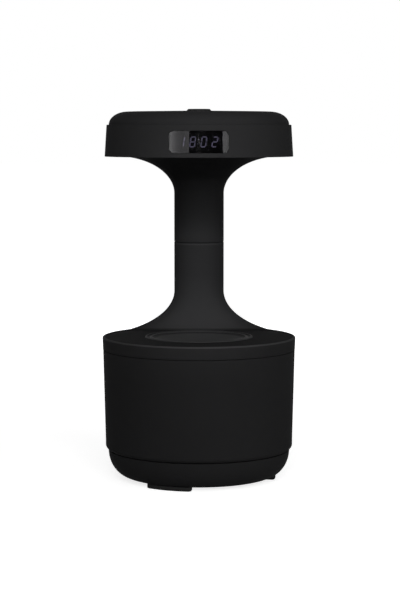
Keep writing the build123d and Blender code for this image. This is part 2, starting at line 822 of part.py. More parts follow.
with BuildPart() as upper_column:
    with BuildSketch(Plane.XY.offset(head_bottom_z)):
        Circle(floor_radius)
    extrude(amount=head_floor_thickness)
    with BuildSketch(Plane.XY.offset(head_floor_z)):
        Circle(strobe_boss_radius)
    extrude(amount=strobe_board_z - head_floor_z)
    add(
        column_body(
            head_bottom_z, -flare_height, upper_bottom_z, 0, 0, flare_reach, front_reach_high
        )
    )
    chamfer(upper_column.faces().sort_by(Axis.Z)[0].outer_wire().edges(), column_edge)
    # posts and standoffs on the floor
    with BuildSketch(Plane.XY.offset(head_floor_z)):
        with Locations(*head_screw_places):
            Circle(head_post_radius + 0.4)
    extrude(amount=head_post_z - head_floor_z)
    with BuildSketch(Plane.XY.offset(head_floor_z)):
        with Locations(*control_places):
            Circle(standoff_radius)
    extrude(amount=control_z - head_floor_z)
    # grooved guides that hold the two upright boards
    with BuildSketch(Plane.XY.offset(head_floor_z)):
        with Locations((button_board_half - 0.6, button_board_y), (0.6 - button_board_half, button_board_y)):
            Rectangle(2.4, 3.4)
        with Locations(*[(side * (display_board_half - 0.6), display_board_y - 0.8) for side in (-1, 1)]):
            Rectangle(2.4, 3.6)
    extrude(amount=guide_height)
    with BuildSketch(Plane.XY.offset(head_floor_z + 1.5)):
        with Locations((0, button_board_y + button_board_thickness / 2)):
            Rectangle(2 * button_board_half + 0.2, button_board_thickness + 0.2)
        with Locations((0, display_board_y - display_board_thickness / 2)):
            Rectangle(2 * display_board_half + 0.2, display_board_thickness + 0.2)
    extrude(amount=guide_height, mode=Mode.SUBTRACT)
    # hollow of the column, straight through the floor
    add(
        column_body(
            head_bottom_z, -flare_height, seam_z + spigot_height, wall, void_back, void_reach, void_reach / 2
        ),
        mode=Mode.SUBTRACT,
    )
    add(
        column_body(seam_z - 6, 0.5, head_floor_z + 1, wall, void_back, 0, 0),
        mode=Mode.SUBTRACT,
    )
    # screw holes, with the heads sunk from below
    with BuildSketch(Plane.XY.offset(head_bottom_z)):
        with Locations(*head_screw_places):
            Circle(head_screw_head + play)
    extrude(amount=head_screw_recess, mode=Mode.SUBTRACT)
    with BuildSketch(Plane.XY.offset(head_bottom_z)):
        with Locations(*head_screw_places):
            Circle(head_screw_radius + play)
    extrude(amount=head_post_z - head_bottom_z, mode=Mode.SUBTRACT)
    with BuildSketch(Plane.XY.offset(control_z - pilot_depth)):
        with Locations(*control_places):
            Circle(pilot_radius)
    extrude(amount=pilot_depth, mode=Mode.SUBTRACT)
    # seat of the diffuser, and the opening the drops fall through
    with BuildSketch(Plane.XY.offset(head_bottom_z)):
        Circle(diffuser_radius + play)
    extrude(amount=diffuser_thickness + play, mode=Mode.SUBTRACT)
    with BuildSketch(Plane.XY.offset(head_bottom_z)):
        Circle(diffuser_radius - 2.4)
    extrude(amount=strobe_board_z - head_bottom_z, mode=Mode.SUBTRACT)
    # column screws from behind
    with BuildSketch(Plane.XZ.offset(-column_screw_seat_y)):
        with Locations((-column_screw_x, column_screw_z), (column_screw_x, column_screw_z)):
            Circle(column_screw_head + play)
    extrude(amount=-4.0, mode=Mode.SUBTRACT)
    with BuildSketch(Plane.XZ.offset(-column_screw_seat_y)):
        with Locations((-column_screw_x, column_screw_z), (column_screw_x, column_screw_z)):
            Circle(column_screw_radius + play)
    extrude(amount=4.0, mode=Mode.SUBTRACT)
write(upper_column, "upper_column")

with BuildPart() as column_screws:
    with BuildSketch(Plane.XZ.offset(-column_screw_seat_y)):
        with Locations((-column_screw_x, column_screw_z), (column_screw_x, column_screw_z)):
            Circle(column_screw_head)
    extrude(amount=-1.4)
    with BuildSketch(Plane.XZ.offset(-column_screw_seat_y)):
        with Locations((-column_screw_x, column_screw_z), (column_screw_x, column_screw_z)):
            Circle(column_screw_radius)
    extrude(amount=4.2)
    with BuildSketch(Plane.XZ.offset(-column_screw_seat_y - 1.4)):
        with Locations((-column_screw_x, column_screw_z), (column_screw_x, column_screw_z)):
            Rectangle(2.2, 0.5)
            Rectangle(0.5, 2.2)
    extrude(amount=0.8, mode=Mode.SUBTRACT)
write(column_screws, "column_screws")

# ------------------------------------------------------------------ head shells
skirt_ledge_radius = head_top_radius - wall - 1.0
skirt_ledge_height = 2.3
button_z = head_floor_z + 8.3
button_radius = 3.0
button_pitch = 11.0
button_proud = 0.7
button_travel = 0.5
button_places = [-button_pitch, 0, button_pitch]
button_back_y = button_board_y + 2.9
button_flange = 0.7
window_sink = 0.3
window_play = 0.15

with BuildPart() as head_skirt:
    with BuildSketch(Plane.XZ):
        with BuildLine():
            Polyline(
                (head_bottom_radius, head_bottom_z),
                (head_top_radius, skirt_top_z - 0.3),
                (head_top_radius - 0.3, skirt_top_z),
                (head_top_radius - wall, skirt_top_z),
                (head_top_radius - wall, head_floor_z + skirt_ledge_height),
                (skirt_ledge_radius, head_floor_z + skirt_ledge_height),
                (skirt_ledge_radius, head_floor_z),
                (head_bottom_radius - wall, head_floor_z),
                (head_bottom_radius - wall, head_bottom_z),
                close=True,
            )
        make_face()
    revolve(axis=Axis.Z)
    with BuildSketch(Plane.XZ.offset(head_bottom_radius / 2)):
        with Locations((0, window_z)):
            RectangleRounded(window_width, window_height, window_corner)
    extrude(amount=head_bottom_radius, mode=Mode.SUBTRACT)
    with BuildSketch(Plane.XZ.offset(-head_bottom_radius / 2)):
        with Locations(*[(x, button_z) for x in button_places]):
            Circle(button_radius + play)
    extrude(amount=-head_bottom_radius, mode=Mode.SUBTRACT)
write(head_skirt, "head_skirt")

mist_hole = mist_ring_neck_radius + play
cover_lip_radius = head_top_radius - wall - play
cover_lip_skin = 1.6
cover_lip_height = 2.5
cover_centre = cover_radius - cover_shoulder_width

with BuildPart() as head_cover:
    with BuildSketch(Plane.XZ):
        with BuildLine():
            shoulder = EllipticalCenterArc(
                (cover_centre, skirt_top_z),
                cover_shoulder_width,
                cover_top_z - skirt_top_z,
                start_angle=0,
                arc_size=90,
            )
            Polyline(
                shoulder @ 1,
                (mist_ring_radius + 0.5, cover_peak_z),
                (mist_hole, cover_peak_z),
                (mist_hole, cover_peak_z - cover_skin),
                (cover_centre, cover_inner_z),
            )
            hollow = EllipticalCenterArc(
                (cover_centre, skirt_top_z),
                cover_lip_radius - cover_lip_skin - cover_centre,
                cover_inner_z - skirt_top_z,
                start_angle=0,
                arc_size=90,
            )
            Polyline(
                hollow @ 0,
                (cover_lip_radius - cover_lip_skin, skirt_top_z - cover_lip_height),
                (cover_lip_radius, skirt_top_z - cover_lip_height),
                (cover_lip_radius, skirt_top_z),
                shoulder @ 0,
            )
        make_face()
    revolve(axis=Axis.Z)
    with BuildSketch(Plane.XY.offset(head_post_z)):
        with Locations(*head_screw_places):
            Circle(head_post_radius)
    extrude(amount=cover_inner_z + 0.4 - head_post_z)
    with BuildSketch(Plane.XY.offset(head_post_z)):
        with Locations(*head_screw_places):
            Circle(head_screw_radius + 0.05)
    extrude(amount=head_screw_length - 3.0, mode=Mode.SUBTRACT)
write(head_cover, "head_cover")

with BuildPart() as head_screws:
    screw_seat_z = head_bottom_z + head_screw_recess
    with Locations(*[(x, y, screw_seat_z) for x, y in head_screw_places]):
        Cylinder(head_screw_head, 1.4, align=(Align.CENTER, Align.CENTER, Align.MAX))
        Cylinder(head_screw_radius, head_screw_length, align=(Align.CENTER, Align.CENTER, Align.MIN))
    with BuildSketch(Plane.XY.offset(screw_seat_z - 1.4)):
        with Locations(*head_screw_places):
            Rectangle(2.4, 0.5)
            Rectangle(0.5, 2.4)
    extrude(amount=0.8, mode=Mode.SUBTRACT)
write(head_screws, "head_screws")

with BuildPart() as mist_ring:
    with BuildSketch(Plane.XZ):
        with BuildLine():
            Polyline(
                (mist_bore_radius, cover_peak_z - cover_skin - 1.5),
                (mist_ring_neck_radius, cover_peak_z - cover_skin - 1.5),
                (mist_ring_neck_radius, cover_peak_z),
                (mist_ring_radius, cover_peak_z),
                (mist_ring_top_radius + 0.4, cover_peak_z + mist_ring_height - 0.3),
                (mist_ring_top_radius, cover_peak_z + mist_ring_height),
                (mist_bore_radius + 0.8, cover_peak_z + mist_ring_height),
                (mist_bore_radius, cover_peak_z + mist_ring_height - 0.8),
                close=True,
            )
        make_face()
    revolve(axis=Axis.Z)
write(mist_ring, "mist_ring")

# ------------------------------------------------------------------ drop light under the head
with BuildPart() as diffuser_ring:
    with BuildSketch(Plane.XY.offset(head_bottom_z + play)):
        Circle(diffuser_radius)
        Circle(diffuser_bore, mode=Mode.SUBTRACT)
    extrude(amount=diffuser_thickness)
write(diffuser_ring, "diffuser_ring")

strobe_light_height = 1.2
with BuildPart() as strobe_board:
    with BuildSketch(Plane.XY.offset(strobe_board_z)):
        Circle(strobe_board_radius)
        Circle(diffuser_bore, mode=Mode.SUBTRACT)
    extrude(amount=strobe_board_thickness)
write(strobe_board, "strobe_board")

with BuildPart() as strobe_lights:
    with BuildSketch(Plane.XY.offset(strobe_board_z - strobe_light_height)):
        with PolarLocations(7.0, 6):
            Rectangle(2.4, 2.4)
    extrude(amount=strobe_light_height)
write(strobe_lights, "strobe_lights")

# ------------------------------------------------------------------ reservoir cup, nozzle and wick
cup_z = strobe_board_z + strobe_board_thickness
cup_radius = 15.0
cup_wall = 1.8
cup_floor = 2.0
cup_top_z = cup_z + 15.5
feed_z = cup_z + 9.5
nozzle_radius = diffuser_bore - 0.7
nozzle_flange = 5.0
nozzle_seal_thickness = 0.8
nozzle_flange_thickness = 1.2
wick_radius = 3.6
sleeve_radius = 5.2
sleeve_z = cup_z + cup_floor + 3.5
lid_thickness = 2.0
disc_radius = 8.0
disc_thickness = 0.6
atomiser_seal_radius = 10.0
atomiser_seal_height = 2.4
disc_z = cup_top_z + lid_thickness + 0.9

with BuildPart() as reservoir_cup:
    with BuildSketch(Plane.XY.offset(cup_z)):
        Circle(cup_radius)
    extrude(amount=cup_top_z - cup_z)
    with BuildSketch(Plane.XY.offset(cup_z + cup_floor)):
        Circle(cup_radius - cup_wall)
    extrude(amount=cup_top_z - cup_z - cup_floor, mode=Mode.SUBTRACT)
    with BuildSketch(Plane.XY.offset(cup_z)):
        Circle(nozzle_radius + 0.1)
    extrude(amount=cup_floor, mode=Mode.SUBTRACT)
    # side inlet for the supply tube
    with BuildSketch(Plane.XZ.offset(-12.5)):
        with Locations((outlet_x, feed_z)):
            Circle(spigot_radius)
    extrude(amount=-9.5)
    with BuildSketch(Plane.XZ.offset(-9.0)):
        with Locations((outlet_x, feed_z)):
            Circle(0.9)
    extrude(amount=-13.0, mode=Mode.SUBTRACT)
write(reservoir_cup, "reservoir_cup")

with BuildPart() as nozzle_seal:
    with BuildSketch(Plane.XY.offset(cup_z + cup_floor)):
        Circle(nozzle_flange)
        Circle(nozzle_radius + 0.2, mode=Mode.SUBTRACT)
    extrude(amount=nozzle_seal_thickness)
write(nozzle_seal, "nozzle_seal")

nozzle_flange_z = cup_z + cup_floor + nozzle_seal_thickness
with BuildPart() as drip_nozzle:
    with BuildSketch(Plane.XY.offset(nozzle_flange_z)):
        Circle(nozzle_flange)
    extrude(amount=nozzle_flange_thickness)
    with BuildSketch(Plane.XY.offset(head_bottom_z + 0.4)):
        Circle(nozzle_radius)
    extrude(amount=nozzle_flange_z - head_bottom_z - 0.4)
    with BuildSketch(Plane.XY.offset(head_bottom_z + 0.4)):
        Circle(0.9)
    extrude(amount=nozzle_flange_z + nozzle_flange_thickness - head_bottom_z - 0.4, mode=Mode.SUBTRACT)
    chamfer(drip_nozzle.edges().group_by(Axis.Z)[0].sort_by(SortBy.RADIUS)[-1], 0.8)
write(drip_nozzle, "drip_nozzle")

with BuildPart() as cup_lid:
    with BuildSketch(Plane.XY.offset(cup_top_z)):
        Circle(cup_radius)
    extrude(amount=lid_thickness)
    with BuildSketch(Plane.XY.offset(cup_top_z)):
        Circle(cup_radius - cup_wall - play)
        Circle(cup_radius - cup_wall - play - 1.4, mode=Mode.SUBTRACT)
    extrude(amount=-1.6)
    with BuildSketch(Plane.XY.offset(sleeve_z)):
        Circle(sleeve_radius)
    extrude(amount=cup_top_z - sleeve_z)
    with BuildSketch(Plane.XY.offset(sleeve_z + 1.0)):
        Circle(wick_radius + 0.3)
    extrude(amount=cup_top_z + lid_thickness - sleeve_z, mode=Mode.SUBTRACT)
    with BuildSketch(Plane.XY.offset(sleeve_z)):
        Circle(2.2)
    extrude(amount=1.0, mode=Mode.SUBTRACT)
    with BuildSketch(Plane.XZ.offset(-sleeve_radius - 1)):
        with Locations((0, sleeve_z + 3.0)):
            Circle(1.2)
    extrude(amount=2 * sleeve_radius + 2, mode=Mode.SUBTRACT)
write(cup_lid, "cup_lid")

spring_height = 3.2
spring_wire = 0.3
with BuildPart() as wick_spring:
    with BuildLine() as coil:
        Helix(1.5, spring_height, wick_radius - 0.8, center=(0, 0, sleeve_z + 1.0 + spring_wire + 0.05))
    with BuildSketch(Plane(origin=coil.line @ 0, z_dir=coil.line % 0)):
        Circle(spring_wire)
    sweep(path=coil.line, is_frenet=True)
write(wick_spring, "wick_spring")

wick_z = sleeve_z + 1.0 + spring_height + 2 * spring_wire + 0.1
with BuildPart() as wick:
    with BuildSketch(Plane.XY.offset(wick_z)):
        Circle(wick_radius)
    extrude(amount=disc_z - wick_z)
write(wick, "wick")

with BuildPart() as atomiser_disc:
    with BuildSketch(Plane.XY.offset(disc_z)):
        Circle(disc_radius)
    extrude(amount=disc_thickness)
write(atomiser_disc, "atomiser_disc")

with BuildPart() as atomiser_seal:
    with BuildSketch(Plane.XY.offset(cup_top_z + lid_thickness)):
        Circle(atomiser_seal_radius)
        Circle(disc_radius - 2.0, mode=Mode.SUBTRACT)
    extrude(amount=atomiser_seal_height)
    with BuildSketch(Plane.XY.offset(disc_z)):
        Circle(disc_radius + 0.05)
    extrude(amount=disc_thickness, mode=Mode.SUBTRACT)
write(atomiser_seal, "atomiser_seal")

with BuildPart() as supply_tube:
    tube_points = [
        (outlet_x, outlet_y, outlet_base_z + 0.4),
        (outlet_x, outlet_y, feed_z),
        (outlet_x, 15.0, feed_z),
    ]
    lay_round(tube_points, tube_radius, 9)
    lay_round(tube_points, tube_bore, 9, Mode.SUBTRACT)
write(supply_tube, "supply_tube")

# ------------------------------------------------------------------ boards in the head
control_thickness = 1.6
control_top_z = control_z + control_thickness
board_height = 13.5

with BuildPart() as control_board:
    with BuildSketch(Plane.XY.offset(control_z)):
        with Locations((control_x, 0)):
            RectangleRounded(control_width, control_length, 1.5)
        with Locations(*control_places):
            Circle(board_screw_radius + 0.15, mode=Mode.SUBTRACT)
    extrude(amount=control_thickness)
    # controller, capacitor and socket, soldered on top
    with BuildSketch(Plane.XY.offset(control_top_z)):
        with Locations((control_x - 8, -4)):
            Rectangle(7, 7)
    extrude(amount=1.2)
    with BuildSketch(Plane.XY.offset(control_top_z)):
        with Locations((control_x + 7, -7)):
            Circle(2.4)
    extrude(amount=6.0)
    with BuildSketch(Plane.XY.offset(control_top_z)):
        with Locations((control_x - 9, 7)):
            Rectangle(4, 8)
    extrude(amount=4.0)
write(control_board, "control_board")

with BuildPart() as board_screws:
    base_spots = [(x, y, board_z + board_thickness) for x, y in standoff_places]
    head_spots = [(x, y, control_top_z) for x, y in control_places]
    with Locations(*base_spots, *head_spots):
        Cylinder(board_screw_head, 1.1, align=(Align.CENTER, Align.CENTER, Align.MIN))
        Cylinder(board_screw_radius, board_screw_length, align=(Align.CENTER, Align.CENTER, Align.MAX))
    for x, y, z in base_spots + head_spots:
        with BuildSketch(Plane.XY.offset(z + 1.1)):
            with Locations((x, y)):
                Rectangle(2.0, 0.45)
                Rectangle(0.45, 2.0)
        extrude(amount=-0.6, mode=Mode.SUBTRACT)
write(board_screws, "board_screws")

with BuildPart() as display_board:
    with BuildSketch(Plane.XZ.offset(-display_board_y)):
        with Locations((0, head_floor_z + 1.5)):
            Rectangle(2 * display_board_half, board_height, align=(Align.CENTER, Align.MIN))
    extrude(amount=display_board_thickness)
write(display_board, "display_board")

block_depth = 3.4
block_front_y = display_board_y - display_board_thickness - block_depth
block_half = 2 * digit_pitch + 3.2
with BuildPart() as display_block:
    with BuildSketch(Plane.XZ.offset(-block_front_y)):
        with Locations((0, window_z)):
            Rectangle(2 * block_half, digit_height + 3.4)
    extrude(amount=-block_depth)
write(display_block, "display_block")

# ------------------------------------------------------------------ digits
lit_strokes = {"1": "bc", "8": "abcdefg", "0": "abcdef", "2": "abdeg"}
shown_digits = "1802"


def slanted(x, z):
    """Leans a point of a digit to the right."""
    return (x + z * sin(radians(digit_slant)) / cos(radians(digit_slant)), z + window_z)


def stroke(letter, middle_x):
    """Adds one stroke of a seven-stroke digit, named a to g clockwise from the top, to the sketch."""
    t = segment_width / 2
    half_h = digit_height / 2 - t
    half_w = digit_width / 2 - t
    gap = 0.12
    rows = {"a": half_h, "g": 0, "d": -half_h}
    columns = {"b": (half_w, half_h / 2), "c": (half_w, -half_h / 2)}
    columns.update({"f": (-half_w, half_h / 2), "e": (-half_w, -half_h / 2)})
    if letter in rows:
        z = rows[letter]
        reach = half_w - gap
        corners = [(-reach, z), (t - reach, z + t), (reach - t, z + t)]
        corners += [(reach, z), (reach - t, z - t), (t - reach, z - t)]
    else:
        x, z = columns[letter]
        reach = half_h / 2 - gap
        corners = [(x, z - reach), (x - t, z + t - reach), (x - t, z + reach - t)]
        corners += [(x, z + reach), (x + t, z + reach - t), (x + t, z + t - reach)]
    Polygon(*[slanted(middle_x + px, pz) for px, pz in corners], align=None)


digit_centres = [(k - 1.5) * digit_pitch + digit_shift for k in range(4)]

with BuildPart() as lit_segments:
    with BuildSketch(Plane.XZ.offset(-block_front_y)):
        for digit, centre in zip(shown_digits, digit_centres):
            for letter in lit_strokes[digit]:
                stroke(letter, centre)
        with Locations(slanted(digit_shift, 1.3), slanted(digit_shift, -1.3)):
            Circle(0.3)
    extrude(amount=segment_raise)
write(lit_segments, "lit_segments")

with BuildPart() as dark_segments:
    with BuildSketch(Plane.XZ.offset(-block_front_y)):
        for digit, centre in zip(shown_digits, digit_centres):
            for letter in "abcdefg":
                if letter not in lit_strokes[digit]:
                    stroke(letter, centre)
    extrude(amount=segment_raise)
write(dark_segments, "dark_segments")

with BuildPart() as display_window:
    with BuildSketch(Plane.XZ.offset(head_bottom_radius / 2)):
        with Locations((0, window_z)):
            RectangleRounded(
                window_width - 2 * window_play, window_height - 2 * window_play, window_corner - window_play
            )
    extrude(amount=head_bottom_radius)
    with BuildSketch(Plane.XZ):
        with BuildLine():
            Polyline(
                (head_bottom_radius - window_sink, head_bottom_z),
                (head_top_radius - window_sink, skirt_top_z),
                (head_top_radius - window_sink - window_thickness, skirt_top_z),
                (head_bottom_radius - window_sink - window_thickness, head_bottom_z),
                close=True,
            )
        make_face()
    revolve(axis=Axis.Z, mode=Mode.INTERSECT)
write(display_window, "display_window")

# ------------------------------------------------------------------ buttons at the back
switch_size = 4.6
switch_depth = 0.9
switch_plunger = 0.4
switch_front_y = button_board_y + button_board_thickness

with BuildPart() as button_board:
    with BuildSketch(Plane.XZ.offset(-button_board_y)):
        with Locations((0, head_floor_z + 1.5)):
            Rectangle(2 * button_board_half, board_height, align=(Align.CENTER, Align.MIN))
    extrude(amount=-button_board_thickness)
write(button_board, "button_board")

with BuildPart() as tact_switches:
    with BuildSketch(Plane.XZ.offset(-switch_front_y)):
        with Locations(*[(x, button_z) for x in button_places]):
            Rectangle(switch_size, switch_size)
    extrude(amount=-switch_depth)
    with BuildSketch(Plane.XZ.offset(-switch_front_y)):
        with Locations(*[(x, button_z) for x in button_places]):
            Circle(1.2)
    extrude(amount=-switch_depth - switch_plunger)
write(tact_switches, "tact_switches")


def button_body(x):
    """One push button with the flange that keeps it in the skirt."""
    face_y = sqrt(skirt_radius(button_z) ** 2 - x**2) + button_proud
    with BuildPart() as body:
        with BuildSketch(Plane.XZ.offset(-button_back_y)):
            with Locations((x, button_z)):
                Circle(button_radius + 0.6)
        extrude(amount=-button_flange)
        with BuildSketch(Plane.XZ.offset(-button_back_y)):
            with Locations((x, button_z)):
                Circle(button_radius)
        extrude(amount=button_back_y - face_y)
        fillet(body.edges().group_by(Axis.Y)[-1], 0.4)
    return body.part


with BuildPart() as button_mode:
    add(button_body(button_places[0]))
write(button_mode, "button_mode")

with BuildPart() as button_hour:
    add(button_body(button_places[1]))
write(button_hour, "button_hour")

with BuildPart() as button_minute:
    add(button_body(button_places[2]))
write(button_minute, "button_minute")

# ------------------------------------------------------------------ coin cell that keeps the time
cell_x = 34.0
cell_radius = 10.0
cell_height = 3.2

with BuildPart() as coin_cell_holder:
    with BuildSketch(Plane.XY.offset(head_floor_z)):
        with Locations((cell_x, 0)):
            Circle(cell_radius + 2.0)
    extrude(amount=cell_height + 1.8)
    with BuildSketch(Plane.XY.offset(head_floor_z + 1.2)):
        with Locations((cell_x, 0)):
            Circle(cell_radius + 0.3)
        with Locations((cell_x + cell_radius, 0)):
            Rectangle(8, 7)
    extrude(amount=cell_height + 1, mode=Mode.SUBTRACT)
write(coin_cell_holder, "coin_cell_holder")

with BuildPart() as coin_cell:
    with BuildSketch(Plane.XY.offset(head_floor_z + 1.2)):
        with Locations((cell_x, 0)):
            Circle(cell_radius)
    extrude(amount=cell_height)
    chamfer(coin_cell.edges().group_by(Axis.Z)[-1], 0.5)
write(coin_cell, "coin_cell")

# ------------------------------------------------------------------ wires
with BuildPart() as wire_harness:
    lay_round(
        [
            (chimney_x, board_mid_y, board_z + board_thickness),
            (chimney_x, board_mid_y, wire_z - 0.5),
            (chimney_x, chimney_y, wire_z - 0.5),
            (chimney_x, chimney_y, head_floor_z + 11.8),
            (control_x + 6, 10, head_floor_z + 11.8),
            (control_x + 6, 10, control_top_z),
        ],
        1.75,
        3.6,
    )
write(wire_harness, "wire_harness")

with BuildPart() as pump_cable:
    lay_round(
        [
            (pump_wire_x, pump_wire_y, pump_cap_z),
            (pump_wire_x, pump_wire_y, deck_z + 2),
            (13, column_back_radius - 7.0, deck_z + 8),
            (0.1, column_back_radius - 8.8, deck_z + 15),
            (0.1, chimney_y - 0.5, deck_z + 23),
            (0.1, chimney_y - 0.5, head_floor_z + 7.8),
            (control_x + 13, 8, head_floor_z + 7.8),
            (control_x + 13, 8, control_top_z),
        ],
        pump_wire_radius,
        2.2,
    )
write(pump_cable, "pump_cable")

with BuildPart() as button_cable:
    lay_round(
        [
            (-13, button_board_y, head_floor_z + 8.3),
            (-13, button_board_y - 9.6, head_floor_z + 8.3),
            (control_x - 2, 24, head_floor_z + 8.3),
            (control_x - 2, 8, head_floor_z + 8.3),
            (control_x - 2, 8, control_top_z),
        ],
        0.8,
        2.4,
    )
write(button_cable, "button_cable")

with BuildPart() as display_cable:
    lay_round(
        [
            (-10, display_board_y, head_floor_z + 8.3),
            (-10, display_board_y + 16, head_floor_z + 8.3),
            (control_x - 2, -12, head_floor_z + 8.3),
            (control_x - 2, -12, control_top_z),
        ],
        0.8,
        2.4,
    )
write(display_cable, "display_cable")

with BuildPart() as atomiser_cable:
    lay_round(
        [
            (-atomiser_seal_radius, 0, disc_z + disc_thickness / 2),
            (control_x + 14.5, 0, disc_z + disc_thickness / 2),
            (control_x + 14.5, 0, control_top_z),
        ],
        0.7,
        2.4,
    )
write(atomiser_cable, "atomiser_cable")
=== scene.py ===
# %% [markdown]
# # A water-drop humidifier in matt black
# The object is a tank with a ringed dish in its deck, a flared column at the back and a flat round head
# with a small clock. The exact solids come in as the frame. This lesson gives them finishes, a camera,
# a plain floor and soft light. The frame keeps every size, so nothing here moves or reshapes it.

# %% Load the frame and keep its box
import bpy, json, math
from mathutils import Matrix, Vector

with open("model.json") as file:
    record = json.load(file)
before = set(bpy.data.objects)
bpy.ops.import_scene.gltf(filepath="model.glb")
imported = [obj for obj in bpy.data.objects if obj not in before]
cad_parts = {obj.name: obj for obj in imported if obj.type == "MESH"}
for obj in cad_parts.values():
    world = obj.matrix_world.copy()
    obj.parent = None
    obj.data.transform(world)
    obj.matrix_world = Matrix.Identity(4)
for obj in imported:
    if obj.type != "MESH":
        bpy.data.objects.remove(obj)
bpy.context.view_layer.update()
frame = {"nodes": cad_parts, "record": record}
nodes = frame["nodes"]

# %% [markdown]
# ## The camera
# A long lens stands about 1.2 m in front of the object, level with the head and tipped down by a few
# degrees, so the deck shows as a thin ellipse and the underside of the head stays hidden. A short lens
# nearer by would show more of the deck but would swell the head. The long lens was chosen for its calm
# lines.

# %% Place the camera
lens_length = 107.84  # millimetres, for a sensor 36 mm wide
lens_place = (0.0007, -1.2056, 0.2332)
tipped_down = 5.327  # degrees

camera_data = bpy.data.cameras.new("long_lens")
camera_data.lens = lens_length
camera_data.sensor_width = 36.0
camera_data.clip_start, camera_data.clip_end = 0.05, 50
camera = bpy.data.objects.new("long_lens", camera_data)
bpy.context.scene.collection.objects.link(camera)
camera.location = lens_place
camera.rotation_euler = (math.radians(90 - tipped_down), 0, 0)
bpy.context.scene.camera = camera
bpy.context.scene.view_settings.view_transform = "Standard"
print("camera height:", camera.location.z)

# %% [markdown]
# ## A few helpers for node trees
# Floor, world and finishes are all built from shader nodes. Written out in full, each calculation takes
# four lines, and the one that matters is hard to find. Three small helpers keep the recipes readable:
# one joins two sockets, one empties a tree, and one makes a Math node and feeds it.


# %% Join, empty and calculate
def link(tree, output, target):
    """Joins an output to an input."""
    tree.links.new(output, target)


def empty_tree(owner):
    """Node tree of a world or material, with nothing in it."""
    owner.use_nodes = True
    owner.node_tree.nodes.clear()
    return owner.node_tree


def calculate(tree, operation, *values, clamp=False):
    """Math node fed with sockets or plain numbers; gives its result socket."""
    node = tree.nodes.new("ShaderNodeMath")
    node.operation = operation
    node.use_clamp = clamp
    for place, value in zip(node.inputs, values):
        if isinstance(value, float):
            place.default_value = value
        else:
            link(tree, value, place)
    return node.outputs[0]


print("helpers:", link.__name__, empty_tree.__name__, calculate.__name__)

# %% [markdown]
# ## A white room
# A white room shines on the object from all sides and washes out its form, and a dark one leaves black
# shapes in every reflection. Here the two are parted. The world is white where it is seen, directly, in a
# reflection or through glass, and a dim lamp for everything else.


# %% Build the world
def seen_or_mirrored(tree):
    """1 for rays from the camera, mirrored rays and rays through glass, and 0 for light on a surface."""
    path = tree.nodes.new("ShaderNodeLightPath")
    glossy, through_glass = path.outputs["Is Glossy Ray"], path.outputs["Is Transmission Ray"]
    mirrored = calculate(tree, "MAXIMUM", glossy, through_glass)
    return calculate(tree, "MAXIMUM", path.outputs["Is Camera Ray"], mirrored)


def white_room(strength_as_lamp):
    """World that is white to the eye and in reflections, and a soft lamp for everything else."""
    world = bpy.data.worlds.new("white_room")
    bpy.context.scene.world = world
    tree = empty_tree(world)
    out = tree.nodes.new("ShaderNodeOutputWorld")
    mix = tree.nodes.new("ShaderNodeMixShader")
    link(tree, seen_or_mirrored(tree), mix.inputs["Fac"])
    for place, strength in ((1, strength_as_lamp), (2, 1.0)):
        white = tree.nodes.new("ShaderNodeBackground")
        white.inputs["Color"].default_value = (1, 1, 1, 1)
        white.inputs["Strength"].default_value = strength
        link(tree, white.outputs[0], mix.inputs[place])
    link(tree, mix.outputs[0], out.inputs["Surface"])


white_room(strength_as_lamp=0.06)
print("world:", bpy.context.scene.world.name)

# %% [markdown]
# ## A white table
# The object stands on a plain white table that runs into the white room. A pale floor alone would turn
# grey away from the lamps, and stronger lamps would bleach the object. So the floor takes the shadow as a
# real surface does, and adds a glow of its own where it is seen. The glow is weaker near the object,
# where the lamps reach, and rises with the distance until the table meets the white of the room.

# %% Lay the table top
half_side = 12.0
table_grey = 0.72
glow_near, glow_far = 0.8, 0.97
glow_starts, glow_ends = 0.4, 1.2  # metres from the middle between which the glow rises


def table_top():
    """Wide plain floor, white where it is seen, that still takes a shadow."""
    mesh = bpy.data.meshes.new("table_top")
    corners = [(x * half_side, y * half_side, 0) for x, y in ((-1, -1), (1, -1), (1, 1), (-1, 1))]
    mesh.from_pydata(corners, [], [(0, 1, 2, 3)])
    table = bpy.data.objects.new("table_top", mesh)
    bpy.context.scene.collection.objects.link(table)
    finish = bpy.data.materials.new("white_table")
    tree = empty_tree(finish)
    out = tree.nodes.new("ShaderNodeOutputMaterial")
    paint = tree.nodes.new("ShaderNodeBsdfDiffuse")
    paint.inputs["Color"].default_value = (table_grey, table_grey, table_grey, 1)
    glow = tree.nodes.new("ShaderNodeEmission")
    glow.inputs["Color"].default_value = (1, 1, 1, 1)
    both = tree.nodes.new("ShaderNodeAddShader")
    place = tree.nodes.new("ShaderNodeTexCoord")
    away = tree.nodes.new("ShaderNodeVectorMath")
    away.operation = "LENGTH"
    rising = tree.nodes.new("ShaderNodeMapRange")
    rising.inputs["From Min"].default_value = glow_starts
    rising.inputs["From Max"].default_value = glow_ends
    rising.inputs["To Min"].default_value = glow_near
    rising.inputs["To Max"].default_value = glow_far
    link(tree, place.outputs["Object"], away.inputs[0])
    link(tree, away.outputs["Value"], rising.inputs["Value"])
    level = calculate(tree, "MULTIPLY", seen_or_mirrored(tree), rising.outputs["Result"])
    link(tree, level, glow.inputs["Strength"])
    link(tree, paint.outputs[0], both.inputs[0])
    link(tree, glow.outputs[0], both.inputs[1])
    link(tree, both.outputs[0], out.inputs["Surface"])
    mesh.materials.append(finish)
    return table


print("floor:", table_top().name)

# %% [markdown]
# ## Soft studio light
# Matt black plastic shows its form only where light grazes it. One lamp straight in front would flatten
# it, and a bright room would turn it grey. So one wide box hangs in front and a little above, one stands
# to the right, a weak one at each far side picks out the edges, and two behind keep the back from going
# dark. The two behind aren't mirrored, so that they leave no bright shapes on the surfaces.


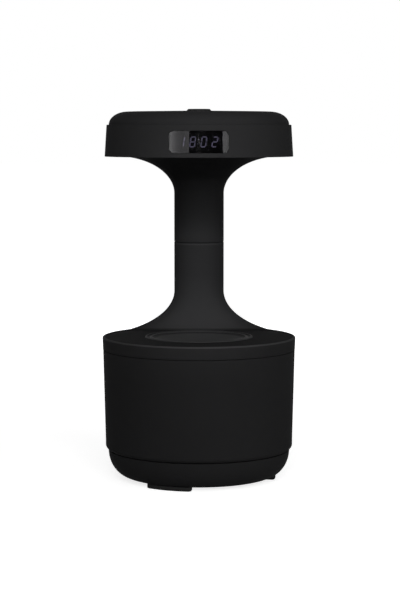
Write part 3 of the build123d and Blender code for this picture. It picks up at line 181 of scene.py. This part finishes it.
# %% Helpers for hanging lamps
def around(side, rise, distance, middle):
    """A place seen from a middle point: degrees right of the camera, degrees up, metres away."""
    turn, tilt = math.radians(side), math.radians(rise)
    level = distance * math.cos(tilt)
    step = Vector((level * math.sin(turn), -level * math.cos(turn), distance * math.sin(tilt)))
    return Vector(middle) + step


def hang(name, kind, place, aim, power):
    """A lamp at a place, aimed at a point and hidden from the camera itself."""
    lamp = bpy.data.lights.new(name, kind)
    lamp.energy = power
    holder = bpy.data.objects.new(name, lamp)
    bpy.context.scene.collection.objects.link(holder)
    holder.location = place
    holder.rotation_euler = (Vector(aim) - Vector(place)).to_track_quat("-Z", "Y").to_euler()
    holder.visible_camera = False
    return lamp


print("one metre to the right:", around(90, 0, 1.0, (0, 0, 0)))

# %% Hang the soft boxes
box_aim = (0, 0, 0.15)
box_distance = 1.0


def soft_box(name, side, rise, width, height, power, mirrored=True):
    """A rectangular soft box aimed at the middle of the object, mirrored in its surfaces or not."""
    lamp = hang(name, "AREA", around(side, rise, box_distance, box_aim), box_aim, power)
    lamp.shape = "RECTANGLE"
    lamp.size, lamp.size_y = width, height
    bpy.data.objects[name].visible_glossy = mirrored


soft_box("front_box", side=0, rise=20, width=0.5, height=0.3, power=4.5)
soft_box("right_box", side=45, rise=10, width=0.4, height=0.4, power=2.05)
soft_box("far_right_box", side=85, rise=15, width=0.4, height=0.5, power=0.4)
soft_box("far_left_box", side=-85, rise=15, width=0.4, height=0.5, power=0.25)
soft_box("back_left_box", side=-165, rise=8, width=0.4, height=0.4, power=1.2, mirrored=False)
soft_box("back_right_box", side=165, rise=8, width=0.4, height=0.4, power=1.2, mirrored=False)
print("soft boxes:", [lamp.name for lamp in bpy.data.lights])

# %% [markdown]
# ## Three narrow spots
# The head, the column and the flare at its foot stand out from the boxes' even light. Stronger boxes
# would lift them too, but would spoil the darker tank. A spot reaches one place alone. Its cone is round
# until the lamp's own scale narrows or flattens it: narrow for the column, flat for the flare, so that
# neither spills on the front of the tank. Each edge fades over the whole cone and shows no rim.

# %% Hang the spots
spot_distance = 1.2
spot_radius = 0.05


def narrow_spot(name, rise, cone, aim, power, width=1.0, height=1.0):
    """A spot straight in front, with a fading cone that can be narrowed or flattened."""
    lamp = hang(name, "SPOT", around(0, rise, spot_distance, aim), aim, power)
    lamp.spot_size = math.radians(cone)
    lamp.spot_blend = 1.0
    lamp.shadow_soft_size = spot_radius
    bpy.data.objects[name].scale = (width, height, 1.0)


narrow_spot("head_spot", rise=25, cone=9, aim=(0, -0.05, 0.235), power=35)
narrow_spot("column_spot", rise=10, cone=4.2, aim=(0.001, 0.035, 0.139), power=330, width=0.26)
narrow_spot("flare_spot", rise=22, cone=6.8, aim=(0, 0.035, 0.113), power=60, height=0.58)
print("spots:", [lamp.name for lamp in bpy.data.lights if lamp.type == "SPOT"])

# %% [markdown]
# ## Cards for the clock window
# A polished window is drawn by what it mirrors. In a bare white room it turns into a white strip. So a
# white card stands on each side of the lens and a black one between them, and the glass shows two pale
# ends around a dark middle where the digits stay readable. A second black card gives the dark middle its
# rounded right end. Only mirrored rays and rays inside the glass meet the cards: they light nothing and
# shade nothing.

# %% A helper for cards
window_middle = Vector((0, -0.062, 0.2272))


def card(name, distance, glow, columns):
    """Card of upright columns, each (degrees right of the lens, degrees up of its foot and top, share)."""
    mesh = bpy.data.meshes.new(name)
    points = []
    for side, foot, top, _ in columns:
        points += [around(side, rise, distance, window_middle) for rise in (foot, top)]
    mesh.from_pydata(points, [], [(k, k + 1, k + 3, k + 2) for k in range(0, len(points) - 2, 2)])
    shares = mesh.attributes.new("share", "FLOAT", "POINT")
    for k in range(len(points)):
        shares.data[k].value = columns[k // 2][3]
    stand = bpy.data.objects.new(name, mesh)
    bpy.context.scene.collection.objects.link(stand)
    stand.visible_camera = stand.visible_shadow = False
    stand.visible_diffuse = stand.visible_volume_scatter = False
    paper = bpy.data.materials.new(name)
    tree = empty_tree(paper)
    out = tree.nodes.new("ShaderNodeOutputMaterial")
    light = tree.nodes.new("ShaderNodeEmission")
    read = tree.nodes.new("ShaderNodeAttribute")
    read.attribute_name = "share"
    link(tree, calculate(tree, "MULTIPLY", read.outputs["Fac"], glow), light.inputs["Strength"])
    link(tree, light.outputs[0], out.inputs["Surface"])
    mesh.materials.append(paper)


print("cards stand around:", [round(v * 1000, 1) for v in window_middle])

# %% Stand the cards around the lens
card_foot, card_top = -20, 45  # degrees up
black_left, black_right = -12.5, 30.2  # degrees right of the lens
bulge_middle, bulge_half, bulge_reach = 6.75, 0.85, 2.3  # degrees
white_distance, black_distance = 0.95, 0.9
white_glow, bright_glow, black_glow = 1.0, 1.5, 0.03
pale_end = (
    (-60, 4.0),
    (-38, 3.0),
    (-35.5, 2.3),
    (-33, 1.6),
    (-28, 1.06),
    (-23, 0.8),
    (black_left, 0.88),
)


def full_height(*columns):
    """Columns of a card as tall as the white ones, from (degrees right, share) pairs."""
    return [(side, card_foot, card_top, share) for side, share in columns]


card("left_card", white_distance, white_glow, full_height(*pale_end))
card("right_card", white_distance, bright_glow, full_height((24, 1.0), (60, 1.0)))
card("black_card", black_distance, black_glow, full_height((black_left, 1.0), (black_right, 1.0)))

bulge = []
for turn in (math.radians(15 * step) for step in range(6, -1, -1)):
    side, half = black_right + bulge_reach * math.cos(turn), bulge_half * math.sin(turn)
    bulge.append((side, bulge_middle - half, bulge_middle + half, 1.0))
card("black_bulge", black_distance, black_glow, bulge)

# %% [markdown]
# ## Effects that the finishes share
# Grain, handling marks and zones could be painted as pictures, but a picture needs unwrapping and turns
# coarse close up. Patterns in the object's own space need neither, so each effect is a small node group
# with named sockets, and each finish places it with its own values.


# %% Helpers for node groups
def new_group(name, inputs, outputs):
    """Node group with named sockets; inputs are (name, kind, start value), outputs (name, kind)."""
    group = bpy.data.node_groups.new(name, "ShaderNodeTree")
    for label, kind, value in inputs:
        socket = group.interface.new_socket(name=label, in_out="INPUT", socket_type=kind)
        socket.default_value = value
    for label, kind in outputs:
        group.interface.new_socket(name=label, in_out="OUTPUT", socket_type=kind)
    start = group.nodes.new("NodeGroupInput")
    end = group.nodes.new("NodeGroupOutput")
    return group, start, end


def place_group(tree, group, values):
    """Places a group in a material and sets its sockets by name."""
    placed = tree.nodes.new("ShaderNodeGroup")
    placed.node_tree = group
    for label, value in values.items():
        placed.inputs[label].default_value = value
    return placed


print("helpers:", new_group.__name__, place_group.__name__)

# %% [markdown]
# ## Grain of the mould
# Spark-eroded moulds leave a fine grain on the plastic. Real pits in the mesh would need millions of
# faces. Fine noise with a cell pattern over it gives a height for a bump node instead, and the same noise
# makes the roughness vary with the grain.


# %% Build the grain group
def mould_grain():
    """Fine grain: a height for a bump node and a roughness that varies with it."""
    group, start, end = new_group(
        "mould_grain",
        [
            ("Grain Size", "NodeSocketFloat", 1800.0),
            ("Roughness", "NodeSocketFloat", 0.55),
            ("Spread", "NodeSocketFloat", 0.08),
        ],
        [("Height", "NodeSocketFloat"), ("Roughness", "NodeSocketFloat")],
    )
    place = group.nodes.new("ShaderNodeTexCoord")
    fine = group.nodes.new("ShaderNodeTexNoise")
    fine.inputs["Detail"].default_value = 3.0
    pits = group.nodes.new("ShaderNodeTexVoronoi")
    for texture in (fine, pits):
        link(group, place.outputs["Object"], texture.inputs["Vector"])
        link(group, start.outputs["Grain Size"], texture.inputs["Scale"])
    height = calculate(group, "MULTIPLY_ADD", pits.outputs["Distance"], 0.5, fine.outputs["Fac"])
    middle, spread = start.outputs["Roughness"], start.outputs["Spread"]
    varied = group.nodes.new("ShaderNodeMapRange")
    link(group, fine.outputs["Fac"], varied.inputs["Value"])
    link(group, calculate(group, "SUBTRACT", middle, spread), varied.inputs["To Min"])
    link(group, calculate(group, "ADD", middle, spread), varied.inputs["To Max"])
    link(group, height, end.inputs["Height"])
    link(group, varied.outputs[0], end.inputs["Roughness"])
    return group


grain_group = mould_grain()
print("group:", grain_group.name)

# %% [markdown]
# ## Marks of handling
# Hands polish the grain in broad patches, which read as a slightly paler black. Broad noise picks the
# patches, and a screen blend adds a little grey to them. A plain mix would dull the black everywhere.

# %% Build the handling group
FACTOR, FIRST_COLOR, SECOND_COLOR = 0, 6, 7  # inputs of a Mix node that mixes colours
MIXED_COLOR = 2  # its colour output


def handling():
    """Broad faint patches where hands have polished the grain, as a colour."""
    group, start, end = new_group(
        "handling",
        [
            ("Color", "NodeSocketColor", (0.016, 0.016, 0.017, 1)),
            ("Patch Size", "NodeSocketFloat", 14.0),
            ("Amount", "NodeSocketFloat", 0.12),
        ],
        [("Color", "NodeSocketColor")],
    )
    place = group.nodes.new("ShaderNodeTexCoord")
    broad = group.nodes.new("ShaderNodeTexNoise")
    broad.inputs["Detail"].default_value = 5.0
    broad.inputs["Roughness"].default_value = 0.6
    steep = group.nodes.new("ShaderNodeMapRange")
    steep.inputs["From Min"].default_value = 0.4
    steep.inputs["From Max"].default_value = 0.7
    tint = group.nodes.new("ShaderNodeMix")
    tint.data_type = "RGBA"
    tint.blend_type = "SCREEN"
    tint.inputs[SECOND_COLOR].default_value = (0.012, 0.012, 0.012, 1)
    link(group, place.outputs["Object"], broad.inputs["Vector"])
    link(group, start.outputs["Patch Size"], broad.inputs["Scale"])
    link(group, broad.outputs["Fac"], steep.inputs["Value"])
    level = calculate(group, "MULTIPLY", steep.outputs[0], start.outputs["Amount"])
    link(group, level, tint.inputs[FACTOR])
    link(group, start.outputs["Color"], tint.inputs[FIRST_COLOR])
    link(group, tint.outputs[MIXED_COLOR], end.inputs["Color"])
    return group


handling_group = handling()
print("group:", handling_group.name)

# %% [markdown]
# ## Zones of a turned part
# One moulding can carry several painted blacks: painted shade on the sunken deck, a painted highlight on
# the rim's edge, painted shade and a painted highlight on the dish's groove and bead.
# Separate materials by face would need the solid cut up. A zone group gives a mask between two heights
# and two radii instead, so one material covers the whole moulding and the zones blend softly.


# %% Build the zone group
def zone():
    """Mask of one zone on a turned solid: between two heights and two radii, fading out over a step."""
    limits = [("Low", 0.0), ("High", 1.0), ("Inner", -1.0), ("Outer", 1.0), ("Fade", 0.0002)]
    group, start, end = new_group(
        "zone",
        [(label, "NodeSocketFloat", value) for label, value in limits],
        [("Mask", "NodeSocketFloat")],
    )
    place = group.nodes.new("ShaderNodeTexCoord")
    split = group.nodes.new("ShaderNodeSeparateXYZ")
    flat = group.nodes.new("ShaderNodeVectorMath")
    flat.operation = "MULTIPLY"
    flat.inputs[1].default_value = (1, 1, 0)
    radius = group.nodes.new("ShaderNodeVectorMath")
    radius.operation = "LENGTH"
    link(group, place.outputs["Object"], split.inputs[0])
    link(group, place.outputs["Object"], flat.inputs[0])
    link(group, flat.outputs["Vector"], radius.inputs[0])
    height, reach = split.outputs["Z"], radius.outputs["Value"]
    shares = []
    for upper, lower in (
        (height, start.outputs["Low"]),
        (start.outputs["High"], height),
        (reach, start.outputs["Inner"]),
        (start.outputs["Outer"], reach),
    ):
        gap = calculate(group, "SUBTRACT", upper, lower)
        shares.append(calculate(group, "DIVIDE", gap, start.outputs["Fade"], clamp=True))
    mask = shares[0]
    for share in shares[1:]:
        mask = calculate(group, "MULTIPLY", mask, share)
    link(group, mask, end.inputs["Mask"])
    return group


zone_group = zone()
print("group:", zone_group.name)

# %% [markdown]
# ## Moulded finishes
# Nearly everything is the same black ABS in a few states: grained shells, a satin dish, soft rubber
# pads. Building each material by hand would repeat the same nodes. One helper places both groups with
# each finish's own values, and the fixed values, such as the specular level, sit on the shader's own
# sockets.

# %% A helper for moulded finishes
grain_height = 0.0002  # metres between the lowest and highest grain
handled = 0.1  # strength of the handling marks


def moulded(name, color, roughness, spread=0.06, grain=1800, depth=0.12, specular=0.3, metal=0.0):
    """Material for a moulded or cast surface with grain and faint handling marks."""
    finish = bpy.data.materials.new(name)
    finish.use_nodes = True
    tree = finish.node_tree
    shader = tree.nodes["Principled BSDF"]
    shader.inputs["Specular IOR Level"].default_value = specular
    shader.inputs["Metallic"].default_value = metal
    marks = place_group(tree, handling_group, {"Color": (*color, 1), "Amount": handled})
    grained = {"Grain Size": grain, "Roughness": roughness, "Spread": spread}
    surface = place_group(tree, grain_group, grained)
    bump = tree.nodes.new("ShaderNodeBump")
    bump.inputs["Strength"].default_value = depth
    bump.inputs["Distance"].default_value = grain_height
    link(tree, marks.outputs["Color"], shader.inputs["Base Color"])
    link(tree, surface.outputs["Roughness"], shader.inputs["Roughness"])
    link(tree, surface.outputs["Height"], bump.inputs["Height"])
    link(tree, bump.outputs["Normal"], shader.inputs["Normal"])
    return finish


print("helper:", moulded.__name__)

# %% Finishes for the outside
shell_tone = (0.0158, 0.0158, 0.0163)
# The dish's paler tone is painted light, and the column's darker tone is painted shade.
dish_light_tone = (0.0235, 0.0235, 0.0241)
column_shade_tone = (0.0100, 0.0100, 0.0104)
rubber_tone = (0.022, 0.022, 0.022)

shell_black = moulded("shell_black", shell_tone, 0.90, spread=0.05, specular=0.012)
# The dish's finish is painted paler as light, and the column's finish darker as shade.
dish_black = moulded("dish_black", dish_light_tone, 0.62, depth=0.06, specular=0.02)
column_shaded_black = moulded("column_shaded_black", column_shade_tone, 0.90, spread=0.05, specular=0.012)
soft_rubber = moulded("soft_rubber", rubber_tone, 0.9, grain=900, specular=0.012)
print("finishes:", shell_black.name, dish_black.name, column_shaded_black.name, soft_rubber.name)

# %% [markdown]
# ## Painted light and shade in zones
# The lower moulding carries the deck, its rim and the lower half of the column. The sunken deck is painted
# the deepest black as shade, the edge of the rim is painted paler as a highlight, and the column is
# painted a little darker than the shells as shade, up to a thin painted highlight line at the seam of its
# halves.
# The dish has painted shade in its groove and a painted highlight on the bead in it. A flat finish would
# lose all of these. Each zone lays its own painted shade or highlight over a copied finish, and the grain
# stays.


# %% A helper for zones
def with_zones(name, finish, zones):
    """Copy of a finish with painted shade or highlights in some zones; each zone is (limits in metres,
    colour).
    """
    zoned = finish.copy()
    zoned.name = name
    tree = zoned.node_tree
    shader = tree.nodes["Principled BSDF"]
    color = shader.inputs["Base Color"].links[0].from_socket
    # Each zone's colour is painted shade or a painted highlight.
    for limits, black in zones:
        mask = place_group(tree, zone_group, limits)
        blend = tree.nodes.new("ShaderNodeMix")
        blend.data_type = "RGBA"
        blend.inputs[SECOND_COLOR].default_value = (*black, 1)
        link(tree, mask.outputs["Mask"], blend.inputs[FACTOR])
        link(tree, color, blend.inputs[FIRST_COLOR])
        color = blend.outputs[MIXED_COLOR]
    link(tree, color, shader.inputs["Base Color"])
    return zoned


print("helper:", with_zones.__name__)

# %% Zones of the deck and of the dish
# Painted shade on the sunken deck and up the column, painted highlights on the rim's edge and at the seam;
# painted shade in the dish's groove and a painted highlight on its bead.
deck_painted_shade = {"Low": 0.0946, "High": 0.0978, "Outer": 0.0642, "Fade": 0.0017}
rim_painted_highlight = {"Low": 0.0955, "High": 0.0970, "Inner": 0.0634}
column_painted_shade = {"Low": 0.105, "Fade": 0.03}
seam_painted_highlight = {"Low": 0.1552, "High": 0.1562}
groove_painted_shade = {"Inner": 0.0288, "Outer": 0.0357, "Fade": 0.0006}
bead_painted_highlight = {"Inner": 0.0310, "Outer": 0.0336, "Fade": 0.0006}

# Each zone is paired with the painted shade or highlight laid on it.
deck_zones = [
    (deck_painted_shade, (0.0046, 0.0046, 0.0048)),
    (rim_painted_highlight, (0.038, 0.038, 0.0387)),
    (column_painted_shade, column_shade_tone),
    (seam_painted_highlight, shell_tone),
]
dish_zones = [
    (groove_painted_shade, (0.011, 0.011, 0.0114)),
    (bead_painted_highlight, (0.030, 0.030, 0.0307)),
]
# The deck and dish finishes carry these painted shades and highlights.
deck_black = with_zones("deck_black", shell_black, deck_zones)
dish_ringed = with_zones("dish_ringed", dish_black, dish_zones)
print("finishes in zones:", deck_black.name, dish_ringed.name)

# %% [markdown]
# ## The inner pieces
# Boards, wires, pump and screws are out of sight, but the part can be opened, so they get plain honest
# finishes from the same helper: green solder resist, plated steel, white plastic, copper winding. The
# board behind the clock window is black, because a green one would show at the ends of the glass.

# %% Finishes for the inner pieces
board_green = moulded("board_green", (0.02, 0.12, 0.06), 0.35, grain=600, specular=0.5)
board_black = moulded("board_black", (0.006, 0.006, 0.007), 0.5, grain=600, specular=0.1)
plated_steel = moulded("plated_steel", (0.55, 0.55, 0.56), 0.3, grain=2500, depth=0.05, metal=1.0)
white_plastic = moulded("white_plastic", (0.62, 0.62, 0.59), 0.5)
foam_white = moulded("foam_white", (0.7, 0.7, 0.67), 0.85, grain=700, depth=0.4)
magnet_grey = moulded("magnet_grey", (0.1, 0.1, 0.105), 0.6)
copper_winding = moulded("copper_winding", (0.55, 0.25, 0.1), 0.35, grain=900, depth=0.4, metal=1.0)
clear_silicone = moulded("clear_silicone", (0.7, 0.7, 0.68), 0.4, depth=0.03)
wire_jacket = moulded("wire_jacket", (0.04, 0.04, 0.042), 0.55, grain=1200)
frosted_white = moulded("frosted_white", (0.62, 0.62, 0.62), 0.6)
chip_yellow = moulded("chip_yellow", (0.75, 0.7, 0.35), 0.35)
pressed_cotton = moulded("pressed_cotton", (0.75, 0.72, 0.66), 0.95, grain=500, depth=0.8, specular=0.1)
segment_off = moulded("segment_off", (0.008, 0.008, 0.012), 0.6, specular=0.2)
block_black = moulded("block_black", (0.004, 0.004, 0.005), 0.7, specular=0.2)
capsule_glass = moulded("capsule_glass", (0.4, 0.55, 0.5), 0.1, depth=0.0, specular=0.5)
print("materials so far:", len(bpy.data.materials))

# %% [markdown]
# ## The clock window
# The window is a curved strip of smoked acrylic, polished on both faces. It hides the dark block behind
# it until a segment lights up. A flat black plate would lose the depth between glass and digits, so the
# strip is real tinted glass here and the digits glow through it.


# %% Smoked acrylic
def smoked_acrylic():
    """Dark tinted, polished acrylic that lets a glowing digit through."""
    finish = bpy.data.materials.new("smoked_acrylic")
    finish.use_nodes = True
    tree = finish.node_tree
    shader = tree.nodes["Principled BSDF"]
    shader.inputs["Transmission Weight"].default_value = 1.0
    shader.inputs["IOR"].default_value = 1.49
    marks = place_group(tree, handling_group, {"Color": (0.30, 0.29, 0.33, 1), "Amount": 0.03})
    polished = {"Grain Size": 300, "Roughness": 0.035, "Spread": 0.01}
    surface = place_group(tree, grain_group, polished)
    link(tree, marks.outputs["Color"], shader.inputs["Base Color"])
    link(tree, surface.outputs["Roughness"], shader.inputs["Roughness"])
    return finish


smoked_window = smoked_acrylic()
print("window:", smoked_window.name)

# %% [markdown]
# ## The lit segments
# A lit segment is a clear bar with a small light chip behind it, so its glow isn't quite even. One flat
# glow would look printed. A ramp over fine noise moves the colour between violet and almost white.

# %% Glowing segments
segment_glow = 0.16


def glowing_segment():
    """Cold violet-white light, a touch brighter in patches as a real light chip is."""
    finish = bpy.data.materials.new("glowing_segment")
    finish.use_nodes = True
    tree = finish.node_tree
    shader = tree.nodes["Principled BSDF"]
    shader.inputs["Base Color"].default_value = (0.4, 0.38, 0.5, 1)
    shader.inputs["Emission Strength"].default_value = segment_glow
    place = tree.nodes.new("ShaderNodeTexCoord")
    patchy = tree.nodes.new("ShaderNodeTexNoise")
    patchy.inputs["Scale"].default_value = 900
    colors = tree.nodes.new("ShaderNodeValToRGB")
    violet, near_white = colors.color_ramp.elements
    violet.color, near_white.color = (0.60, 0.60, 0.95, 1), (0.84, 0.84, 1.0, 1)
    violet.position, near_white.position = 0.3, 0.65
    link(tree, place.outputs["Object"], patchy.inputs["Vector"])
    link(tree, patchy.outputs["Fac"], colors.inputs["Fac"])
    link(tree, colors.outputs["Color"], shader.inputs["Emission Color"])
    return finish


lit_violet = glowing_segment()
print("lit segments:", lit_violet.name)

# %% [markdown]
# ## Dress the solids
# Each solid names the material slot it was drawn in, so one table from slot to finish dresses them all.
# Choosing by hand for sixty solids would be slow and easy to get wrong. Four solids have a finish of
# their own, which a second, shorter table gives.

# %% Give every solid its finish
finish_of_slot = {
    "shell_black": shell_black,
    "dish_black": dish_black,
    "foot_rubber": soft_rubber,
    "smoked_window": smoked_window,
    "led_lit": lit_violet,
    "led_dark": segment_off,
    "block_black": block_black,
    "circuit_board": board_green,
    "screw_steel": plated_steel,
    "inner_plastic": white_plastic,
    "float_foam": foam_white,
    "rotor_magnet": magnet_grey,
    "winding": copper_winding,
    "tube_silicone": clear_silicone,
    "wire_jacket": wire_jacket,
    "sensor_glass": capsule_glass,
    "diffuser": frosted_white,
    "light_chip": chip_yellow,
    "wick_cotton": pressed_cotton,
}
# The deck, the upper column and the dish carry painted shade and highlights in their finishes.
finish_of_node = {
    "base_deck": deck_black,
    "upper_column": column_shaded_black,
    "display_board": board_black,
    "drip_dish": dish_ringed,
}
slot_of_node = {entry["node"]: entry["material_slot"] for entry in frame["record"]["subparts"]}
for name, solid in nodes.items():
    solid.data.materials.clear()
    solid.data.materials.append(finish_of_node.get(name, finish_of_slot[slot_of_node[name]]))
print("dressed:", len(nodes))

# %% [markdown]
# ## Smooth shells with softened edges
# Moulded plastic has no razor edges: every corner carries a radius of about a quarter of a millimetre,
# and that radius is what catches the light. One way is to model each radius in the solids. A quicker way
# is a bevel modifier that only touches sharp edges, after a weld that joins the imported faces. The
# modifier leaves the solid itself unchanged, so it was chosen. The small pieces get a smaller radius.

# %% Soften the edges
shell_radius, small_radius = 0.00025, 0.0002
sharp_angle = 32  # degrees between two faces, from which their edge is rounded
shells = ("tank", "bottom_shell", "base_deck", "upper_column", "head_skirt", "head_cover", "drip_dish")
small_pieces = ("mist_ring", "button_mode", "button_hour", "button_minute", "foot_pads")


def soften(solid, radius):
    """Welds an imported solid, rounds its sharp edges and shades the rest smooth."""
    weld = solid.modifiers.new("join faces", "WELD")
    weld.merge_threshold = 1e-6
    bevel = solid.modifiers.new("round edges", "BEVEL")
    bevel.width = radius
    bevel.segments = 2
    bevel.limit_method = "ANGLE"
    bevel.angle_limit = math.radians(sharp_angle)
    bevel.use_clamp_overlap = True
    smooth = solid.modifiers.new("even shading", "WEIGHTED_NORMAL")
    smooth.mode = "FACE_AREA"
    smooth.weight = 60
    smooth.keep_sharp = False


for name in shells:
    soften(nodes[name], shell_radius)
for name in small_pieces:
    soften(nodes[name], small_radius)
print("softened:", len(shells) + len(small_pieces))
